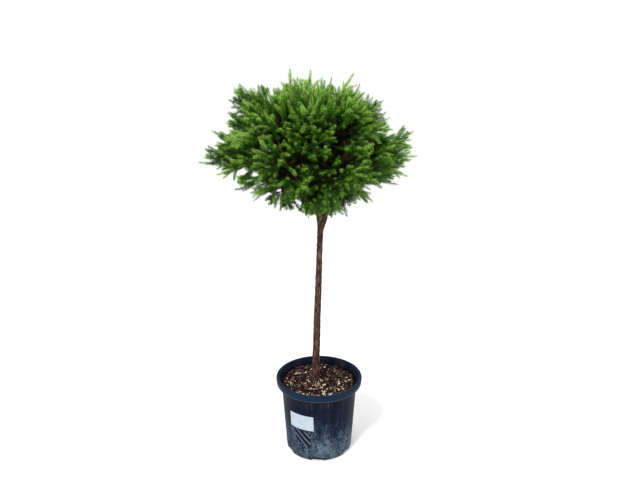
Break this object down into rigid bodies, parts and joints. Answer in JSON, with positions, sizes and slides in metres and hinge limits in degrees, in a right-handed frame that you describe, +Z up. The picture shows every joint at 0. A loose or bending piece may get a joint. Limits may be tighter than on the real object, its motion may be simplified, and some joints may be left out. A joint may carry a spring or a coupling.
{
  "type": "potted globe cedar standard",
  "caption": "Round, flat-topped evergreen crown of rope-like needle shoots on a slim bare stem, growing in a plain black nursery pot of bark compost.",
  "frame": {"origin": "centre of the pot's flat underside, at ground level", "axes": "+Z up along the pot's axis, -Y towards the front with the sticker, +X to the right as seen from the front"},
  "size_m": [0.5853, 0.5134, 1.1405],
  "materials": {
    "pot_plastic": "moulded black-blue plastic, dusty and scuffed low down",
    "paper": "matt white sticker, blank",
    "compost": "coarse composted bark with pale wood flakes",
    "bark": "fibrous flaking purplish brown bark",
    "foliage": "short fresh green needles in ropes, paler at the tips"
  },
  "bodies": {
    "root": {"pot": "pot_plastic", "label": "paper", "soil": "compost", "trunk": "bark", "bough_skirt_1": "bark", "bough_skirt_2": "bark", "bough_skirt_3": "bark", "bough_skirt_4": "bark", "bough_skirt_5": "bark", "bough_skirt_6": "bark", "bough_waist_1": "bark", "bough_waist_2": "bark", "bough_waist_3": "bark", "bough_waist_4": "bark", "bough_waist_5": "bark", "bough_waist_6": "bark", "bough_shoulder_1": "bark", "bough_shoulder_2": "bark", "bough_shoulder_3": "bark", "bough_shoulder_4": "bark", "bough_shoulder_5": "bark", "bough_shoulder_6": "bark", "bough_shoulder_7": "bark", "foliage_skirt_1": "foliage", "foliage_skirt_2": "foliage", "foliage_skirt_3": "foliage", "foliage_skirt_4": "foliage", "foliage_skirt_5": "foliage", "foliage_skirt_6": "foliage", "foliage_waist_1": "foliage", "foliage_waist_2": "foliage", "foliage_waist_3": "foliage", "foliage_waist_4": "foliage", "foliage_waist_5": "foliage", "foliage_waist_6": "foliage", "foliage_shoulder_1": "foliage", "foliage_shoulder_2": "foliage", "foliage_shoulder_3": "foliage", "foliage_shoulder_4": "foliage", "foliage_shoulder_5": "foliage", "foliage_shoulder_6": "foliage", "foliage_shoulder_7": "foliage", "foliage_top": "foliage"}
  },
  "joints": []
}
